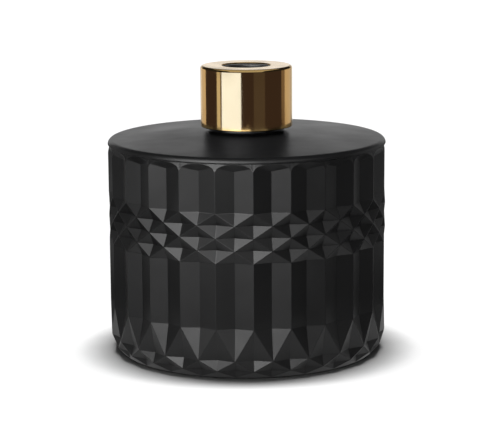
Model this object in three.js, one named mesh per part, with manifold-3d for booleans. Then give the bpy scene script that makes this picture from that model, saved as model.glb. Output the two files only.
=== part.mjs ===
// Fragrance diffuser bottle: a squat pressed-glass vessel with a faceted wall, closed by a metal
// screw collar with an open hole for the reeds. Millimetres, +Z up, origin at the centre of the
// base, on the surface that the bottle stands on.
import * as THREE from 'three';
import { mergeVertices } from 'three/addons/utils/BufferGeometryUtils.js';
import Module from 'manifold-3d';

// Faceted wall: each column is a V groove between two upright ridges.
const BODY_RADIUS = 44;          // at the ridges
const GROOVE_DEPTH = 1.9;        // from the ridges in to the middle of a groove
const COLUMNS = 24;
const RIDGE_TURN = 2.4;          // degrees from -Y to the nearest ridge, towards +X
const ARCH_STEPS = 3;            // straight steps in each half of a groove's round top

// Heights on the wall, above the surface.
const HEEL_TOP = 2.6;            // ridges swell out of the heel
const LOW_POINTS = 6;            // long grooves' lower points
const LONG_BOTTOM = 15.8;        // lower row of long grooves
const LONG_TOP = 36.1;
const HALF_DIAMOND = 3.8;        // two rows of diamonds lie between the rows of long grooves
const ARCH_FOOT = 63.8;          // neighbouring arches meet on a ridge
const ARCH_CROWN = 66.2;
const BAND_TOP = 66.5;           // plain band ends and the shoulder's rounded edge starts
const EDGE_RADIUS = 1.6;
const EDGE_STEPS = 3;
const SHOULDER_RISE = 2.2;       // from the rounded edge in to the neck

// Base and inside of the vessel.
const HEEL_TUCK = 1;             // ridges stand this far in at the top of the heel
const FOOT_RADIUS = 40.5;
const FOOT_WIDTH = 5;
const PUNT_RISE = 1.2;
const WALL = 4.2;                // behind the middle of a groove
const FLOOR = 6.5;
const SHOULDER_WALL = 4;
const INNER_CORNER = 5;
const CORNER_STEPS = 3;

// Neck.
const NECK_BORE = 7.9;
const NECK_RADIUS = 11.8;
const NECK_TOP = 87.2;
const LIP_BEVEL = 0.8;
const BEAD_RADIUS = 12.5;        // glass bead under the thread
const BEAD_HEIGHT = 74;
const BEAD_HALF = 0.9;

// Right-handed screw thread with one start, on the neck and in the collar.
const PITCH = 4.2;
const THREAD_TURNS = 1.4;
const THREAD_DEPTH = 1;
const ROOT_WIDTH = 1.7;
const CREST_WIDTH = 0.9;
const NECK_THREAD_START = 78;
const COLLAR_THREAD_START = NECK_THREAD_START - PITCH / 2;
const THREAD_STEPS = 44;
const THREAD_BITE = 0.4;         // how far a thread is sunk in its own wall
const RUN_OUT = 0.12;            // share of a thread's length that fades out at each end
const LEAST_FADE = 0.25;

// Collar: a metal shell pressed on a threaded plastic liner, with a foam washer under its top.
const COLLAR_RADIUS = 14.5;
const COLLAR_BOTTOM = 71.7;
const COLLAR_TOP = 90.9;
const SHELL_WALL = 0.5;
const SHELL_CORNER = 0.9;
const HOLE_RADIUS = 7.7;
const GAP = 0.3;                 // between pieces that touch
const LINER_ROOT = 13;           // inside the liner, between its thread's turns
const LINER_BORE = 8.1;
const LINER_FLANGE = 1;
const WASHER_BORE = 8.4;
const WASHER_RADIUS = 11.9;
const WASHER_HEIGHT = 1.2;

const ROUND_SEGMENTS = 2 * COLUMNS;
const TURN = 2 * Math.PI;
const wasm = await Module();
wasm.setup();

const lacqueredGlass = new THREE.MeshStandardMaterial({ color: 0x212121, roughness: 0.45, metalness: 0 });
const goldMetal = new THREE.MeshStandardMaterial({ color: 0xd9a765, roughness: 0.15, metalness: 1 });
const blackPlastic = new THREE.MeshStandardMaterial({ color: 0x18181a, roughness: 0.55, metalness: 0 });
const whiteFoam = new THREE.MeshStandardMaterial({ color: 0xe9e7e1, roughness: 0.9, metalness: 0 });

// A closed geometry as a manifold solid, and back.
function toSolid(geometry) {
  const bare = geometry.clone();
  bare.deleteAttribute('normal');
  bare.deleteAttribute('uv');
  const merged = mergeVertices(bare, 1e-4);
  return new wasm.Manifold(new wasm.Mesh({
    numProp: 3,
    vertProperties: merged.attributes.position.array,
    triVerts: new Uint32Array(merged.index.array),
  }));
}

function toGeometry(solid) {
  const mesh = solid.getMesh();
  const geometry = new THREE.BufferGeometry();
  geometry.setAttribute('position', new THREE.BufferAttribute(mesh.vertProperties, 3));
  geometry.setIndex(new THREE.BufferAttribute(mesh.triVerts, 1));
  geometry.computeVertexNormals();
  return geometry;
}

// LatheGeometry turns about Y, so it is stood up along Z. A profile is [radius, height] pairs.
function turned(profile) {
  const points = profile.map(([radius, height]) => new THREE.Vector2(radius, height));
  return new THREE.LatheGeometry(points, ROUND_SEGMENTS).rotateX(Math.PI / 2);
}

// Points on part of a circle, between two angles in degrees above the outward direction.
function arc(centreRadius, centreHeight, size, from, to, steps) {
  return Array.from({ length: steps + 1 }, (_, i) => {
    const angle = THREE.MathUtils.degToRad(from + (to - from) * i / steps);
    return [centreRadius + size * Math.cos(angle), centreHeight + size * Math.sin(angle)];
  });
}

// ---- Screw thread ----

// A helical ridge: a straight bar of the thread's section, wound round the Z axis. It stands out
// from the wall (direction 1) or in from it (direction -1), and fades out at both ends.
function helicalRidge(wallRadius, direction, startHeight) {
  const section = new THREE.Shape([
    new THREE.Vector2(-THREAD_BITE, -ROOT_WIDTH / 2),
    new THREE.Vector2(THREAD_DEPTH, -CREST_WIDTH / 2),
    new THREE.Vector2(THREAD_DEPTH, CREST_WIDTH / 2),
    new THREE.Vector2(-THREAD_BITE, ROOT_WIDTH / 2),
  ]);
  const bar = new THREE.ExtrudeGeometry(section, { steps: THREAD_STEPS, depth: 1, bevelEnabled: false });
  const position = bar.attributes.position;
  for (let i = 0; i < position.count; i += 1) {
    const along = position.getZ(i);
    const fade = Math.min(1, LEAST_FADE + Math.min(along, 1 - along) / RUN_OUT);
    const reach = position.getX(i) < 0 ? -THREAD_BITE : THREAD_DEPTH * fade;
    const radius = wallRadius + direction * reach;
    const angle = along * THREAD_TURNS * TURN;
    const height = startHeight + along * THREAD_TURNS * PITCH + position.getY(i);
    position.setXYZ(i, radius * Math.cos(angle), radius * Math.sin(angle), height);
  }
  return direction > 0 ? facesTurned(bar) : bar;
}

// Winding a bar outwards turns it inside out. This turns its faces back.
function facesTurned(geometry) {
  const position = geometry.attributes.position;
  const second = new THREE.Vector3();
  const third = new THREE.Vector3();
  for (let i = 0; i < position.count; i += 3) {
    second.fromBufferAttribute(position, i + 1);
    third.fromBufferAttribute(position, i + 2);
    position.setXYZ(i + 1, third.x, third.y, third.z);
    position.setXYZ(i + 2, second.x, second.y, second.z);
  }
  return geometry;
}

// ---- Bottle ----

// The wall repeats every half column, from a ridge (side 0) to the middle of a groove (side 1).
// A line across the half column is a list of { side, radius, height }.
function straightLine(ridgeRadius, grooveRadius, height) {
  return [{ side: 0, radius: ridgeRadius, height }, { side: 1, radius: grooveRadius, height }];
}

function roundLine([radius, height]) {
  return straightLine(radius, radius, height);
}

function fineLine([radius, height]) {
  return Array.from({ length: ARCH_STEPS + 1 }, (_, i) => ({ side: i / ARCH_STEPS, radius, height }));
}

// A groove's round top: a quarter of an ellipse from the ridge up to the crown.
function archLine() {
  return fineLine([BODY_RADIUS, ARCH_FOOT]).map((point) => {
    const lift = Math.sqrt(1 - (1 - point.side) ** 2);
    return { ...point, height: ARCH_FOOT + (ARCH_CROWN - ARCH_FOOT) * lift };
  });
}

// Triangles between two lines. Between two straight lines the crease joins the corners that stand
// furthest out, which sinks a pyramid into each diamond.
function strip(lower, upper) {
  const triangles = [];
  let i = 0;
  let j = 0;
  while (i < lower.length - 1 || j < upper.length - 1) {
    const nextLower = i < lower.length - 1 ? lower[i + 1].side : Infinity;
    const nextUpper = j < upper.length - 1 ? upper[j + 1].side : Infinity;
    const square = nextLower === nextUpper;
    const creaseRises = square && lower[i].radius + upper[j + 1].radius > lower[i + 1].radius + upper[j].radius;
    if (nextLower < nextUpper || (square && !creaseRises)) {
      triangles.push([lower[i], lower[i + 1], upper[j]]);
      i += 1;
    } else {
      triangles.push([lower[i], upper[j + 1], upper[j]]);
      j += 1;
    }
  }
  return triangles;
}

// Half column copied round the bottle, every second copy mirrored.
function aroundAxis(triangles) {
  const halfColumn = Math.PI / COLUMNS;
  const corners = [];
  for (let column = 0; column < COLUMNS; column += 1) {
    const ridge = THREE.MathUtils.degToRad(RIDGE_TURN - 90) + 2 * column * halfColumn;
    for (const hand of [1, -1]) {
      for (const [a, b, c] of triangles) {
        for (const { side, radius, height } of hand > 0 ? [a, b, c] : [a, c, b]) {
          const angle = ridge + hand * side * halfColumn;
          corners.push(radius * Math.cos(angle), radius * Math.sin(angle), height);
        }
      }
    }
  }
  const geometry = new THREE.BufferGeometry();
  geometry.setAttribute('position', new THREE.Float32BufferAttribute(corners, 3));
  return geometry;
}

function baseLines() {
  return [
    [{ side: 0, radius: 0, height: PUNT_RISE }],
    roundLine([FOOT_RADIUS - FOOT_WIDTH - PUNT_RISE, PUNT_RISE]),
    roundLine([FOOT_RADIUS - FOOT_WIDTH, 0]),
    roundLine([FOOT_RADIUS, 0]),
  ];
}

function facetLines() {
  const out = BODY_RADIUS;
  const deep = BODY_RADIUS - GROOVE_DEPTH;
  const ridgesOut = (height) => straightLine(out, deep, height);
  const groovesOut = (height) => straightLine(deep, out, height);
  return [
    straightLine(out - HEEL_TUCK, deep - HEEL_TUCK, HEEL_TOP),
    groovesOut(LOW_POINTS),
    ridgesOut(LONG_BOTTOM),
    ridgesOut(LONG_TOP),
    groovesOut(LONG_TOP + HALF_DIAMOND),
    ridgesOut(LONG_TOP + 2 * HALF_DIAMOND),
    groovesOut(LONG_TOP + 3 * HALF_DIAMOND),
    ridgesOut(LONG_TOP + 4 * HALF_DIAMOND),
    ridgesOut(ARCH_FOOT),
  ];
}

function shoulderLines() {
  const edgeCentre = BODY_RADIUS - EDGE_RADIUS;
  const edge = arc(edgeCentre, BAND_TOP, EDGE_RADIUS, 0, 90, EDGE_STEPS);
  const neckFoot = BAND_TOP + EDGE_RADIUS + SHOULDER_RISE;
  return [...edge.map(fineLine), roundLine([NECK_RADIUS, neckFoot])];
}

function neckAndInsideLines() {
  const inner = BODY_RADIUS - GROOVE_DEPTH - WALL;
  const ceiling = BAND_TOP + EDGE_RADIUS - SHOULDER_WALL;
  const bead = [
    [NECK_RADIUS, BEAD_HEIGHT - BEAD_HALF],
    [BEAD_RADIUS, BEAD_HEIGHT - BEAD_HALF / 2],
    [BEAD_RADIUS, BEAD_HEIGHT + BEAD_HALF / 2],
    [NECK_RADIUS, BEAD_HEIGHT + BEAD_HALF],
  ];
  const lip = [
    [NECK_RADIUS, NECK_TOP - LIP_BEVEL],
    [NECK_RADIUS - LIP_BEVEL, NECK_TOP],
    [NECK_BORE + LIP_BEVEL, NECK_TOP],
    [NECK_BORE, NECK_TOP - LIP_BEVEL],
  ];
  const hollow = [
    [NECK_BORE, ceiling],
    ...arc(inner - INNER_CORNER, ceiling - INNER_CORNER, INNER_CORNER, 90, 0, CORNER_STEPS),
    ...arc(inner - INNER_CORNER, FLOOR + INNER_CORNER, INNER_CORNER, 0, -90, CORNER_STEPS),
  ];
  const floorCentre = [{ side: 0, radius: 0, height: FLOOR }];
  return [...[...bead, ...lip, ...hollow].map(roundLine), floorCentre];
}

function stripsBetween(lines) {
  return lines.slice(1).flatMap((line, i) => strip(lines[i], line));
}

function bottleGeometry() {
  const facets = facetLines();
  const grooveEnd = facets.at(-1)[1];
  const arch = archLine();
  const wall = aroundAxis([
    ...stripsBetween([...baseLines(), ...facets]),
    ...strip([grooveEnd], arch),
    ...stripsBetween([arch, ...shoulderLines(), ...neckAndInsideLines()]),
  ]);
  const thread = helicalRidge(NECK_RADIUS, 1, NECK_THREAD_START);
  return toGeometry(toSolid(wall).add(toSolid(thread)));
}

// ---- Collar ----

const shellInside = COLLAR_RADIUS - SHELL_WALL;
const linerTop = COLLAR_TOP - SHELL_WALL - GAP;
const washerTop = linerTop - LINER_FLANGE - GAP;

function shellGeometry() {
  const corner = [COLLAR_RADIUS - SHELL_CORNER, COLLAR_TOP - SHELL_CORNER];
  return turned([
    [shellInside, COLLAR_BOTTOM],
    [COLLAR_RADIUS, COLLAR_BOTTOM],
    ...arc(...corner, SHELL_CORNER, 0, 90, CORNER_STEPS),
    [HOLE_RADIUS, COLLAR_TOP],
    [HOLE_RADIUS, COLLAR_TOP - SHELL_WALL],
    ...arc(...corner, SHELL_CORNER - SHELL_WALL, 90, 0, CORNER_STEPS),
    [shellInside, COLLAR_BOTTOM],
  ]);
}

function linerGeometry() {
  const outside = shellInside - GAP;
  const sleeve = turned([
    [LINER_ROOT, COLLAR_BOTTOM + GAP],
    [outside, COLLAR_BOTTOM + GAP],
    [outside, linerTop - SHELL_CORNER],
    [outside - SHELL_CORNER, linerTop],
    [LINER_BORE, linerTop],
    [LINER_BORE, linerTop - LINER_FLANGE],
    [LINER_ROOT, linerTop - LINER_FLANGE],
    [LINER_ROOT, COLLAR_BOTTOM + GAP],
  ]);
  const thread = helicalRidge(LINER_ROOT, -1, COLLAR_THREAD_START);
  return toGeometry(toSolid(sleeve).add(toSolid(thread)));
}

function washerGeometry() {
  return turned([
    [WASHER_BORE, washerTop - WASHER_HEIGHT],
    [WASHER_RADIUS, washerTop - WASHER_HEIGHT],
    [WASHER_RADIUS, washerTop],
    [WASHER_BORE, washerTop],
    [WASHER_BORE, washerTop - WASHER_HEIGHT],
  ]);
}

// ---- Assembly ----

function piece(name, geometry, material) {
  const mesh = new THREE.Mesh(geometry, material);
  mesh.name = name;
  return mesh;
}

const bottle = new THREE.Group();
const collar = new THREE.Group();
collar.add(
  piece('collar_shell', shellGeometry(), goldMetal),
  piece('collar_liner', linerGeometry(), blackPlastic),
  piece('seal_washer', washerGeometry(), whiteFoam),
);
bottle.add(piece('bottle', bottleGeometry(), lacqueredGlass), collar);

export default bottle;
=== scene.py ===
import math

import bmesh
import bpy
from mathutils import Euler, Matrix, Vector


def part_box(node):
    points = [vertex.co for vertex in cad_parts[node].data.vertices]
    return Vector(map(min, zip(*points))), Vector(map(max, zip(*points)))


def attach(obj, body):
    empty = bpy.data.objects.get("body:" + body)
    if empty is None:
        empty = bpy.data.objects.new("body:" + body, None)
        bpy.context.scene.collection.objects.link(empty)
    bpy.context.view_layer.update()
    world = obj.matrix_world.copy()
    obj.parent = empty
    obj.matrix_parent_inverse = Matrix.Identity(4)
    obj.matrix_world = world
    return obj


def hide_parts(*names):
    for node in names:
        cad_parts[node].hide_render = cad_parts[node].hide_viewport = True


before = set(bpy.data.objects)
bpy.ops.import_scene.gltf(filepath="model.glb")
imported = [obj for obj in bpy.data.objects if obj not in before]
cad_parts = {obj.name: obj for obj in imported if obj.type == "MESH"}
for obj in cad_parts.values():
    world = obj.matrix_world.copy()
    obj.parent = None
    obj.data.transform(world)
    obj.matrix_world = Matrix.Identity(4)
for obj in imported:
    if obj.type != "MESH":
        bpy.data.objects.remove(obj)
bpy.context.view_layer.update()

MM = 0.001
neck_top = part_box("bottle")[1][2]
shell_low, shell_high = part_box("collar_shell")
liner_low, liner_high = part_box("collar_liner")
washer_low, washer_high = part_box("seal_washer")

# Faceted wall. Each column is a V groove between two ridges.
COLUMNS = 24
HALF_COLUMN = math.pi / COLUMNS
RIDGE_TURN = math.radians(2.4 - 90)
BODY_RADIUS = 44 * MM
GROOVE_DEPTH = 1.9 * MM
HEEL_TUCK = 1 * MM
HEEL_TOP = 2.6 * MM
LOW_POINTS = 6 * MM
LONG_BOTTOM = 15.8 * MM
LONG_TOP = 36.1 * MM
HALF_DIAMOND = 3.8 * MM
ARCH_FOOT = 63.8 * MM
ARCH_CROWN = 66.2 * MM
ARCH_STEPS = 10

# The band between the arches leans in, up to a thin line that is sunk under the shoulder's rim.
BAND_LEAN = 0.5 * MM
NOTCH_HEIGHT = 66.3 * MM
NOTCH_DEPTH = 0.7 * MM
RIM_HEIGHT = 66.5 * MM
RIM_ROUND = 1.6 * MM
SHOULDER_FOOT = RIM_HEIGHT + RIM_ROUND
NECK_FOOT = SHOULDER_FOOT + 2.2 * MM

# Foot, inside and neck.
FOOT_OUTSIDE = 40.5 * MM
FOOT_INSIDE = 35.5 * MM
FOOT_SWELL = 0.5 * MM
FOOT_EDGE = 0.45 * MM
PUNT_RISE = 1.2 * MM
WALL = 4.2 * MM
FLOOR_THICKNESS = 6.5 * MM
SHOULDER_WALL = 4 * MM
INNER_CORNER = 5 * MM
NECK_BORE = 7.9 * MM
NECK_RADIUS = 11.8 * MM
NECK_FILLET = 1 * MM
LIP_ROUND = 0.8 * MM
BEAD_HEIGHT = 74 * MM
BEAD_SIZE = 0.7 * MM

# Screw thread on the neck and in the liner.
PITCH = 4.2 * MM
THREAD_TURNS = 1.4
THREAD_DEPTH = 1 * MM
THREAD_BITE = 0.4 * MM
ROOT_WIDTH = 1.7 * MM
CREST_WIDTH = 0.9 * MM
NECK_THREAD_START = 78 * MM
THREAD_STEPS = 140

# Collar.
SHELL_WALL = 0.5 * MM
SHELL_CORNER = 0.9 * MM
HOLE_RADIUS = 7.7 * MM
LINER_ROOT = 13 * MM
LINER_BORE = 8.1 * MM
LINER_FLANGE = 1 * MM
WASHER_BORE = 8.4 * MM

# Rounding of creases, and the least angle between two faces that gets rounded.
GLASS_CREASE = 0.3 * MM
GLASS_CREASE_ANGLE = 9
PLASTIC_CREASE = 0.15 * MM
FOAM_CREASE = 0.2 * MM
SOFT_CREASE_ANGLE = 25
ROUND_SEGMENTS = 192

# Camera: millimetres of lens, metres, and degrees.
LENS = 141.3
SENSOR_WIDTH = 36
CAMERA_DISTANCE = 14 * BODY_RADIUS
CAMERA_HEIGHT = 160.2 * MM
CAMERA_PITCH = 11.055
CAMERA_TURN = 0.083
CAMERA_ROLL = 0.36

# Studio.
WORLD_STRENGTH = 0.02
LIGHT_TARGET = 60 * MM
TABLE_CARD_HEIGHT = 0.3 * MM
NEAR_FLOOR = 75 * MM          # only this much of the floor shows in gloss
FAR_FLOOR = 20
CONTACT_SHADE = 12 * MM


# ---- Camera and light ----

def add_camera():
    """A long lens in front of the bottle, a little above it and tilted down."""
    camera_data = bpy.data.cameras.new("camera")
    camera_data.sensor_width = SENSOR_WIDTH
    camera_data.lens = LENS
    camera_data.clip_end = 50
    camera = bpy.data.objects.new("camera", camera_data)
    bpy.context.collection.objects.link(camera)
    camera.location = (0, -CAMERA_DISTANCE, CAMERA_HEIGHT)
    turned = Matrix.Rotation(math.radians(-CAMERA_TURN), 4, "Z")
    pitched = Matrix.Rotation(math.radians(90 - CAMERA_PITCH), 4, "X")
    rolled = Matrix.Rotation(math.radians(-CAMERA_ROLL), 4, "Z")
    camera.rotation_euler = (turned @ pitched @ rolled).to_euler()
    bpy.context.scene.camera = camera


def add_panel_light(name, azimuth, elevation, distance, width, height, radiance, colour=(1, 1, 1)):
    """A soft rectangular light that faces the bottle and shows in its gloss, but doesn't light the
    floor. Azimuth 0 is in front (-Y) and 90 at +X."""
    light_data = bpy.data.lights.new(name, "AREA")
    light_data.shape = "RECTANGLE"
    light_data.size = width
    light_data.size_y = height
    light_data.energy = radiance * math.pi * width * height
    light_data.color = colour
    light = bpy.data.objects.new(name, light_data)
    bpy.context.collection.objects.link(light)
    turn, rise = math.radians(azimuth), math.radians(elevation)
    out = Vector((math.sin(turn) * math.cos(rise), -math.cos(turn) * math.cos(rise), math.sin(rise)))
    light.location = Vector((0, 0, LIGHT_TARGET)) + distance * out
    light.rotation_euler = out.to_track_quat("Z", "Y").to_euler()
    light.visible_camera = False
    light.visible_diffuse = False
    return light


def add_bounce_light(name, azimuth, distance, width, depth, radiance, outline="RECTANGLE"):
    """A card that lies on the floor and faces up, for the light that the table throws back."""
    light = add_panel_light(name, azimuth, 0, distance, width, depth, radiance)
    light.data.shape = outline
    light.location.z = TABLE_CARD_HEIGHT
    light.rotation_euler = Euler((math.pi, 0, math.radians(azimuth)))
    return light


def add_sun(name, strength, size, tilt, lean=0):
    """Even light on the whole floor, that casts the shadows but doesn't show in gloss. Its size is
    an angle. It shines straight down at 0; a tilt moves it to the front, and a lean to the side."""
    light_data = bpy.data.lights.new(name, "SUN")
    light_data.energy = strength
    light_data.angle = math.radians(size)
    light = bpy.data.objects.new(name, light_data)
    bpy.context.collection.objects.link(light)
    light.rotation_euler = Euler((math.radians(tilt), math.radians(lean), 0))
    light.visible_glossy = False


def add_floor(name, inside, outside, shows_in_gloss, material):
    """A flat ring of floor. Without an inside radius it is a full disc."""
    shape = bmesh.new()
    rim = [Matrix.Rotation(2 * math.pi * i / ROUND_SEGMENTS, 3, "Z") @ Vector((1, 0, 0))
           for i in range(ROUND_SEGMENTS)]
    outer = [shape.verts.new(outside * point) for point in rim]
    if inside:
        inner = [shape.verts.new(inside * point) for point in rim]
        for i in range(-1, ROUND_SEGMENTS - 1):
            shape.faces.new((inner[i], outer[i], outer[i + 1], inner[i + 1]))
    else:
        shape.faces.new(outer)
    mesh = bpy.data.meshes.new(name)
    shape.to_mesh(mesh)
    shape.free()
    mesh.materials.append(material)
    floor = bpy.data.objects.new(name, mesh)
    bpy.context.collection.objects.link(floor)
    floor.visible_glossy = shows_in_gloss


def add_studio():
    """A pale floor in a dim white room. The light from above is a little behind the bottle, and
    longer from left to right than it is deep. A weak low one reaches under the heel."""
    world = bpy.data.worlds.new("studio")
    bpy.context.scene.world = world
    world.use_nodes = True
    world.node_tree.nodes["Background"].inputs["Color"].default_value = (1, 1, 1, 1)
    world.node_tree.nodes["Background"].inputs["Strength"].default_value = WORLD_STRENGTH
    for lean in (-10, -5, 0, 5, 10):
        add_sun("overhead", 0.7, 9, -4.5, lean)
    add_sun("front_fill", 0.5, 40, 68)
    material = floor_material()
    add_floor("near_floor", 0, NEAR_FLOOR, True, material)
    add_floor("far_floor", NEAR_FLOOR, FAR_FLOOR, False, material)


def dull_lights():
    """For the glass, liner and washer: a broad softbox at the front left in three strips, each with
    the light that the table throws back under it, more from the table at both sides and under the
    heel, a weak fill at the right, and pale backdrops."""
    lights = []
    for part, azimuth, high, low, bounce in (
            ("left", -52, 5.2, 5.2, 1.8), ("middle", -28, 8.4, 9, 2), ("right", -4, 3.6, 8.4, 1.2)):
        lights += [
            add_panel_light("softbox_high_" + part, azimuth, 28, 0.8, 0.34, 0.5, high),
            add_panel_light("softbox_low_" + part, azimuth, 10, 0.8, 0.34, 0.22, low),
            add_bounce_light("table_bounce_" + part, azimuth + 2, 0.3, 0.16, 0.3, bounce),
        ]
    heel_width, heel_depth = 1.95 * BODY_RADIUS, 2.07 * BODY_RADIUS
    return [
        *lights,
        add_bounce_light("table_bounce_far_left", -122, 0.3, 0.5, 0.3, 0.35),
        add_bounce_light("table_bounce_far_right", 122, 0.3, 0.5, 0.3, 0.35),
        add_bounce_light("heel_glow", 0, 0, heel_width, heel_depth, 0.33, "ELLIPSE"),
        add_panel_light("side_fill", 35, 25, 0.8, 0.5, 0.5, 1.3),
        add_panel_light("backdrop", 180, 10, 0.9, 0.9, 0.4, 0.8),
        add_panel_light("backdrop_left", -120, 10, 0.9, 0.9, 0.4, 0.25),
        add_panel_light("backdrop_right", 120, 10, 0.9, 0.9, 0.4, 0.35),
    ]


def metal_lights():
    """For the collar's shell: a low bright strip with a weaker one beside it, a dim one at the
    right, light from above for its top and its rounded edge, pale backdrops that wrap round both
    sides, and a brown room that shows between them."""
    lights = [
        add_panel_light("strip", -38, -4, 0.3, 0.28, 0.05, 1, (1.14, 1.5, 2.75)),
        add_panel_light("strip_edge", -72, -4, 0.3, 0.055, 0.05, 0.6),
        add_panel_light("strip_top", 0, 38, 0.5, 0.8, 0.3, 0.45),
        add_panel_light("metal_ceiling", 0, 88, 0.5, 0.8, 0.7, 0.4),
        add_panel_light("top_card", 180, 15, 0.5, 0.5, 0.1, 0.35),
        add_panel_light("metal_backdrop", 180, 2, 0.5, 0.56, 0.16, 0.65),
        add_panel_light("metal_backdrop_left", -137, 2, 0.5, 0.28, 0.16, 0.6, (1, 0.9, 0.8)),
        add_panel_light("metal_backdrop_right", 130, 2, 0.5, 0.35, 0.16, 0.4, (1, 0.95, 0.9)),
        add_panel_light("soft_edge_right", 122, 2, 0.5, 0.46, 0.16, 0.15, (1, 0.8, 0.65)),
    ]
    for width in (0.15, 0.07):
        lights.append(add_panel_light("dim_strip", 32, -4, 0.3, width, 0.05, 0.035))
    for azimuth in (-90, 0, 90):
        lights.append(add_panel_light("brown_room", azimuth, -4, 0.4, 0.8, 0.2, 0.022, (1, 0.49, 0.66)))
    return lights


def light_apart(pieces, name, lights):
    """These lights fall on these pieces only."""
    group = bpy.data.collections.new(name)
    for piece in pieces:
        group.objects.link(piece)
    for light in lights:
        light.light_linking.receiver_collection = group


# ---- Materials ----

def new_material(name):
    material = bpy.data.materials.new(name)
    material.use_nodes = True
    nodes, links = material.node_tree.nodes, material.node_tree.links
    return material, nodes, links, nodes["Principled BSDF"]


def add_noise(nodes, links, scale, detail=2.0, stretch=(1, 1, 1)):
    """3-D noise fixed to the object, so it looks the same from every side."""
    place = nodes.new("ShaderNodeTexCoord")
    mapping = nodes.new("ShaderNodeMapping")
    mapping.inputs["Scale"].default_value = stretch
    noise = nodes.new("ShaderNodeTexNoise")
    noise.inputs["Scale"].default_value = scale
    noise.inputs["Detail"].default_value = detail
    links.new(place.outputs["Object"], mapping.inputs["Vector"])
    links.new(mapping.outputs["Vector"], noise.inputs["Vector"])
    return noise.outputs["Fac"]


def spread(nodes, links, value, from_low, from_high, low, high):
    """Maps one range of a value to another."""
    ramp = nodes.new("ShaderNodeMapRange")
    ramp.inputs["From Min"].default_value = from_low
    ramp.inputs["From Max"].default_value = from_high
    ramp.inputs["To Min"].default_value = low
    ramp.inputs["To Max"].default_value = high
    links.new(value, ramp.inputs["Value"])
    return ramp.outputs["Result"]


def blend_colours(nodes, links, amount, first, second):
    mix = nodes.new("ShaderNodeMix")
    mix.data_type = "RGBA"
    mix.inputs["A"].default_value = (*first, 1)
    mix.inputs["B"].default_value = (*second, 1)
    links.new(amount, mix.inputs["Factor"])
    return mix.outputs["Result"]


def add_bumps(nodes, links, shader, *bumps):
    """Bumps on top of each other, each a (height, strength, distance)."""
    normal = None
    for height, strength, distance in bumps:
        bump = nodes.new("ShaderNodeBump")
        bump.inputs["Strength"].default_value = strength
        bump.inputs["Distance"].default_value = distance
        links.new(height, bump.inputs["Height"])
        if normal:
            links.new(normal, bump.inputs["Normal"])
        normal = bump.outputs["Normal"]
    links.new(normal, shader.inputs["Normal"])


def floor_material():
    """Matt white table, with painted contact shade that makes it greyer close under the bottle."""
    material, nodes, links, shader = new_material("floor")
    shader.inputs["Roughness"].default_value = 0.9
    shader.inputs["Specular IOR Level"].default_value = 0
    # Painted shade: ambient occlusion darkens the floor's own colour near the bottle.
    shade = nodes.new("ShaderNodeAmbientOcclusion")
    shade.inputs["Color"].default_value = (0.93, 0.93, 0.93, 1)
    shade.inputs["Distance"].default_value = CONTACT_SHADE
    links.new(shade.outputs["Color"], shader.inputs["Base Color"])
    return material


def lacquer_material():
    """Black satin lacquer over pressed glass: soft waves from the mould, faint orange peel, and a
    painted highlight that makes the sharp ridges paler."""
    material, nodes, links, shader = new_material("black_lacquer")
    shader.inputs["IOR"].default_value = 1.5
    shader.inputs["Specular IOR Level"].default_value = 0.25
    geometry = nodes.new("ShaderNodeNewGeometry")
    # Painted highlight: the base colour turns paler where edges are sharp (pointiness).
    ridge_highlight = spread(nodes, links, geometry.outputs["Pointiness"], 0.52, 0.6, 0, 1)
    links.new(blend_colours(nodes, links, ridge_highlight, (0.008, 0.008, 0.0083), (0.018, 0.018, 0.0185)),
              shader.inputs["Base Color"])
    cloud = add_noise(nodes, links, 60, 3)
    links.new(spread(nodes, links, cloud, 0.3, 0.7, 0.33, 0.4), shader.inputs["Roughness"])
    waves = add_noise(nodes, links, 110, 1)
    peel = add_noise(nodes, links, 900, 2)
    add_bumps(nodes, links, shader, (waves, 0.5, 0.25 * MM), (peel, 0.15, 0.04 * MM))
    return material


def gold_material():
    """Polished gold plate: faint polishing marks round the axis and a cloudy shine."""
    material, nodes, links, shader = new_material("polished_gold")
    shader.inputs["Metallic"].default_value = 1
    tint = add_noise(nodes, links, 70, 3)
    links.new(blend_colours(nodes, links, tint, (0.84, 0.55, 0.21), (0.88, 0.61, 0.25)),
              shader.inputs["Base Color"])
    cloud = add_noise(nodes, links, 150, 4)
    links.new(spread(nodes, links, cloud, 0.3, 0.7, 0.06, 0.13), shader.inputs["Roughness"])
    marks = add_noise(nodes, links, 150, 3, (1, 1, 20))
    add_bumps(nodes, links, shader, (marks, 0.12, 0.02 * MM))
    return material


def plastic_material():
    """Black moulded polypropylene with a fine spark-eroded grain."""
    material, nodes, links, shader = new_material("black_plastic")
    shader.inputs["Base Color"].default_value = (0.012, 0.012, 0.013, 1)
    cloud = add_noise(nodes, links, 300, 3)
    links.new(spread(nodes, links, cloud, 0.3, 0.7, 0.35, 0.5), shader.inputs["Roughness"])
    grain = add_noise(nodes, links, 4000, 2)
    add_bumps(nodes, links, shader, (grain, 0.3, 0.03 * MM))
    return material


def foam_material():
    """White closed-cell foam with small round cells and a faint press mark."""
    material, nodes, links, shader = new_material("white_foam")
    stain = add_noise(nodes, links, 200, 3)
    links.new(blend_colours(nodes, links, stain, (0.82, 0.81, 0.78), (0.76, 0.74, 0.69)),
              shader.inputs["Base Color"])
    shader.inputs["Roughness"].default_value = 0.85
    cells = add_noise(nodes, links, 2500, 2)
    add_bumps(nodes, links, shader, (cells, 0.5, 0.1 * MM))
    return material


# ---- Mesh helpers ----

def add_piece(name, shape, material, body, node):
    """Turns a bmesh into a piece that stands for a CAD node and rides on its body."""
    mesh = bpy.data.meshes.new(name)
    shape.to_mesh(mesh)
    shape.free()
    mesh.materials.append(material)
    for polygon in mesh.polygons:
        polygon.use_smooth = True
    piece = bpy.data.objects.new(name, mesh)
    bpy.context.collection.objects.link(piece)
    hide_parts(node)
    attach(piece, body)
    return piece


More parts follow.
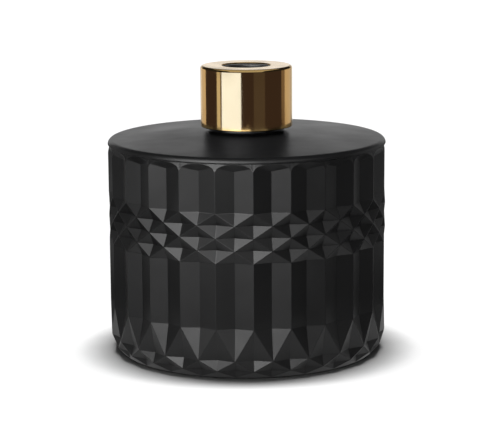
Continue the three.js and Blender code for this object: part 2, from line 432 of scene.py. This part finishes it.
def soften(piece, bevel_width, least_angle):
    """Rounds the creases and keeps the flat faces between them flat."""
    bevel = piece.modifiers.new("soft_creases", "BEVEL")
    bevel.width = bevel_width
    bevel.segments = 3
    bevel.limit_method = "ANGLE"
    bevel.angle_limit = math.radians(least_angle)
    weighted = piece.modifiers.new("flat_faces", "WEIGHTED_NORMAL")
    weighted.weight = 90


def arc(centre_radius, centre_height, size, start, end, steps):
    """Points on part of a circle, between two angles in degrees above the outward direction."""
    angles = [math.radians(start + (end - start) * i / steps) for i in range(steps + 1)]
    return [(centre_radius + size * math.cos(a), centre_height + size * math.sin(a)) for a in angles]


def add_turned(shape, profile):
    """A closed ring turned about Z from a closed profile of (radius, height)."""
    rings = []
    for i in range(ROUND_SEGMENTS):
        angle = 2 * math.pi * i / ROUND_SEGMENTS
        rings.append([shape.verts.new((r * math.cos(angle), r * math.sin(angle), z)) for r, z in profile])
    for i in range(-1, ROUND_SEGMENTS - 1):
        here, after = rings[i], rings[i + 1]
        for j in range(-1, len(profile) - 1):
            shape.faces.new((here[j], after[j], after[j + 1], here[j + 1]))


def add_thread(shape, wall_radius, direction, start_height):
    """A round-crested helical ridge that fades out at both ends. It stands out from the wall
    (direction 1) or in from it (direction -1)."""
    section = [(-THREAD_BITE, -ROOT_WIDTH / 2), (0.7 * THREAD_DEPTH, -0.6 * CREST_WIDTH),
               (THREAD_DEPTH, -0.3 * CREST_WIDTH), (THREAD_DEPTH, 0.3 * CREST_WIDTH),
               (0.7 * THREAD_DEPTH, 0.6 * CREST_WIDTH), (-THREAD_BITE, ROOT_WIDTH / 2)]
    rings = []
    for i in range(THREAD_STEPS + 1):
        along = i / THREAD_STEPS
        fade = min(1, 0.05 + min(along, 1 - along) / 0.12)
        angle = along * THREAD_TURNS * 2 * math.pi
        ring = []
        for reach, lift in section:
            radius = wall_radius + direction * (reach * fade if reach > 0 else reach)
            height = start_height + along * THREAD_TURNS * PITCH + lift
            ring.append(shape.verts.new((radius * math.cos(angle), radius * math.sin(angle), height)))
        rings.append(ring if direction > 0 else ring[::-1])
    for here, after in zip(rings, rings[1:]):
        for j in range(-1, len(section) - 1):
            shape.faces.new((here[j], after[j], after[j + 1], here[j + 1]))
    shape.faces.new(rings[0])
    shape.faces.new(rings[-1][::-1])


# ---- Bottle ----
# The wall repeats every half column, from a ridge (side 0) to the middle of a groove (side 1). A
# line across the half column is a list of (side, radius, height).

def straight_line(ridge_radius, groove_radius, height):
    return [(0, ridge_radius, height), (1, groove_radius, height)]


def fine_line(radius, height, steps):
    return [(i / steps, radius, height) for i in range(steps + 1)]


def strip(lower, upper):
    """Faces between two lines. A square stays whole where it is flat, and is otherwise creased
    along the diagonal that stands furthest out."""
    faces = []
    i = j = 0
    while i < len(lower) - 1 or j < len(upper) - 1:
        next_lower = lower[i + 1][0] if i < len(lower) - 1 else math.inf
        next_upper = upper[j + 1][0] if j < len(upper) - 1 else math.inf
        square = next_lower == next_upper
        if square and level(lower[i:i + 2] + upper[j:j + 2]):
            faces.append((lower[i], lower[i + 1], upper[j + 1], upper[j]))
            i += 1
            j += 1
        elif next_lower < next_upper or (
                square and lower[i][1] + upper[j + 1][1] <= lower[i + 1][1] + upper[j][1]):
            faces.append((lower[i], lower[i + 1], upper[j]))
            i += 1
        else:
            faces.append((lower[i], upper[j + 1], upper[j]))
            j += 1
    return faces


def level(corners):
    """True if both lines turn round the axis, or if both sides stand upright."""
    radii = [corner[1] for corner in corners]
    turned = math.isclose(radii[0], radii[1]) and math.isclose(radii[2], radii[3])
    upright = math.isclose(radii[0], radii[2]) and math.isclose(radii[1], radii[3])
    return turned or upright


def facet_lines():
    """The heel, long grooves, diamonds and long grooves again, up to the foot of the arches."""
    out = BODY_RADIUS
    deep = BODY_RADIUS - GROOVE_DEPTH
    lines = [
        straight_line(out - HEEL_TUCK, deep - HEEL_TUCK, HEEL_TOP),
        straight_line(deep, out, LOW_POINTS),
        straight_line(out, deep, LONG_BOTTOM),
        straight_line(out, deep, LONG_TOP),
    ]
    for half in range(1, 5):
        ridge, groove = (deep, out) if half % 2 else (out, deep)
        lines.append(straight_line(ridge, groove, LONG_TOP + half * HALF_DIAMOND))
    return [*lines, straight_line(out, deep, ARCH_FOOT)]


def arch_line():
    """A groove's round top."""
    line = []
    for side, _, _ in fine_line(0, 0, ARCH_STEPS):
        height = ARCH_FOOT + (ARCH_CROWN - ARCH_FOOT) * math.sqrt(1 - (1 - side) ** 2)
        lean = BAND_LEAN * (height - ARCH_FOOT) / (ARCH_CROWN - ARCH_FOOT)
        line.append((side, BODY_RADIUS - lean, height))
    return line


def rim_and_shoulder_lines():
    edge = [(BODY_RADIUS - NOTCH_DEPTH, NOTCH_HEIGHT)]
    edge += arc(BODY_RADIUS - RIM_ROUND, RIM_HEIGHT, RIM_ROUND, 0, 90, 12)
    edge.append((NECK_RADIUS + NECK_FILLET, NECK_FOOT))
    return [fine_line(radius, height, ARCH_STEPS) for radius, height in edge]


def neck_and_inside_lines():
    ceiling = SHOULDER_FOOT - SHOULDER_WALL
    inner = BODY_RADIUS - GROOVE_DEPTH - WALL
    profile = arc(NECK_RADIUS + NECK_FILLET, NECK_FOOT + NECK_FILLET, NECK_FILLET, -108, -180, 4)
    profile += arc(NECK_RADIUS, BEAD_HEIGHT, BEAD_SIZE, -90, 90, 8)
    profile += arc(NECK_RADIUS - LIP_ROUND, neck_top - LIP_ROUND, LIP_ROUND, 0, 90, 5)
    profile += arc(NECK_BORE + LIP_ROUND, neck_top - LIP_ROUND, LIP_ROUND, 90, 180, 5)
    profile += [(NECK_BORE, ceiling)]
    profile += arc(inner - INNER_CORNER, ceiling - INNER_CORNER, INNER_CORNER, 90, 0, 8)
    profile += arc(inner - INNER_CORNER, FLOOR_THICKNESS + INNER_CORNER, INNER_CORNER, 0, -90, 8)
    return [*(fine_line(radius, height, 4) for radius, height in profile), [(0, 0, FLOOR_THICKNESS)]]


def add_around_axis(shape, faces):
    """Copies the half column round the bottle, every second copy mirrored, and joins the copies."""
    known = {}

    def vertex(column, hand, point):
        side, radius, height = point
        step = (2 * column + hand * side) % (2 * COLUMNS) if radius else 0
        key = (step, radius, height)
        if key not in known:
            angle = RIDGE_TURN + step * HALF_COLUMN
            known[key] = shape.verts.new((radius * math.cos(angle), radius * math.sin(angle), height))
        return known[key]

    for column in range(COLUMNS):
        for hand in (1, -1):
            for face in faces:
                corners = [vertex(column, hand, point) for point in face]
                shape.faces.new(corners[::hand])


def build_bottle():
    facets = facet_lines()
    arch = arch_line()
    base = [[(0, 0, PUNT_RISE)], fine_line(FOOT_INSIDE - PUNT_RISE, PUNT_RISE, 1),
            fine_line(FOOT_INSIDE, 0, 1), fine_line(FOOT_OUTSIDE, 0, 1),
            fine_line(FOOT_OUTSIDE + FOOT_SWELL, FOOT_EDGE, 1)]
    lower = [*base, *facets]
    upper = [arch, *rim_and_shoulder_lines(), *neck_and_inside_lines()]
    faces = strip([facets[-1][1]], arch)
    for lines in (lower, upper):
        for below, above in zip(lines, lines[1:]):
            faces += strip(below, above)
    shape = bmesh.new()
    add_around_axis(shape, faces)
    add_thread(shape, NECK_RADIUS, 1, NECK_THREAD_START)
    bottle = add_piece("faceted_bottle", shape, lacquer_material(), "bottle", "bottle")
    soften(bottle, GLASS_CREASE, GLASS_CREASE_ANGLE)
    return bottle


# ---- Collar ----

def build_shell():
    outside, top, bottom = shell_high[0], shell_high[2], shell_low[2]
    half_wall = SHELL_WALL / 2
    profile = arc(outside - half_wall, bottom + half_wall, half_wall, 180, 360, 8)
    profile += arc(outside - SHELL_CORNER, top - SHELL_CORNER, SHELL_CORNER, 0, 90, 10)
    profile += arc(HOLE_RADIUS + half_wall, top - half_wall, half_wall, 90, 270, 8)
    profile += arc(outside - SHELL_CORNER, top - SHELL_CORNER, SHELL_CORNER - SHELL_WALL, 90, 0, 6)
    shape = bmesh.new()
    add_turned(shape, profile)
    shell = add_piece("gold_shell", shape, gold_material(), "collar", "collar_shell")
    shell.modifiers.new("flat_faces", "WEIGHTED_NORMAL")
    shell.visible_glossy = False
    return shell


def build_liner():
    outside, top, bottom = liner_high[0], liner_high[2], liner_low[2]
    ledge = top - LINER_FLANGE
    shape = bmesh.new()
    add_turned(shape, [(LINER_ROOT, bottom), (outside, bottom), (outside, top - SHELL_CORNER),
                       (outside - SHELL_CORNER, top), (LINER_BORE, top), (LINER_BORE, ledge),
                       (LINER_ROOT, ledge)])
    add_thread(shape, LINER_ROOT, -1, NECK_THREAD_START - PITCH / 2)
    plastic = plastic_material()
    liner = add_piece("threaded_liner", shape, plastic, "collar", "collar_liner")
    soften(liner, PLASTIC_CREASE, SOFT_CREASE_ANGLE)
    return liner


def build_washer():
    outside, top, bottom = washer_high[0], washer_high[2], washer_low[2]
    shape = bmesh.new()
    add_turned(shape, [(WASHER_BORE, bottom), (outside, bottom), (outside, top), (WASHER_BORE, top)])
    washer = add_piece("foam_washer", shape, foam_material(), "seal", "seal_washer")
    soften(washer, FOAM_CREASE, SOFT_CREASE_ANGLE)
    return washer


add_camera()
add_studio()
dull_pieces = [build_bottle(), build_liner(), build_washer()]
light_apart(dull_pieces, "dull", dull_lights())
light_apart([build_shell()], "metal", metal_lights())

bpy.context.scene.view_settings.view_transform = "Standard"
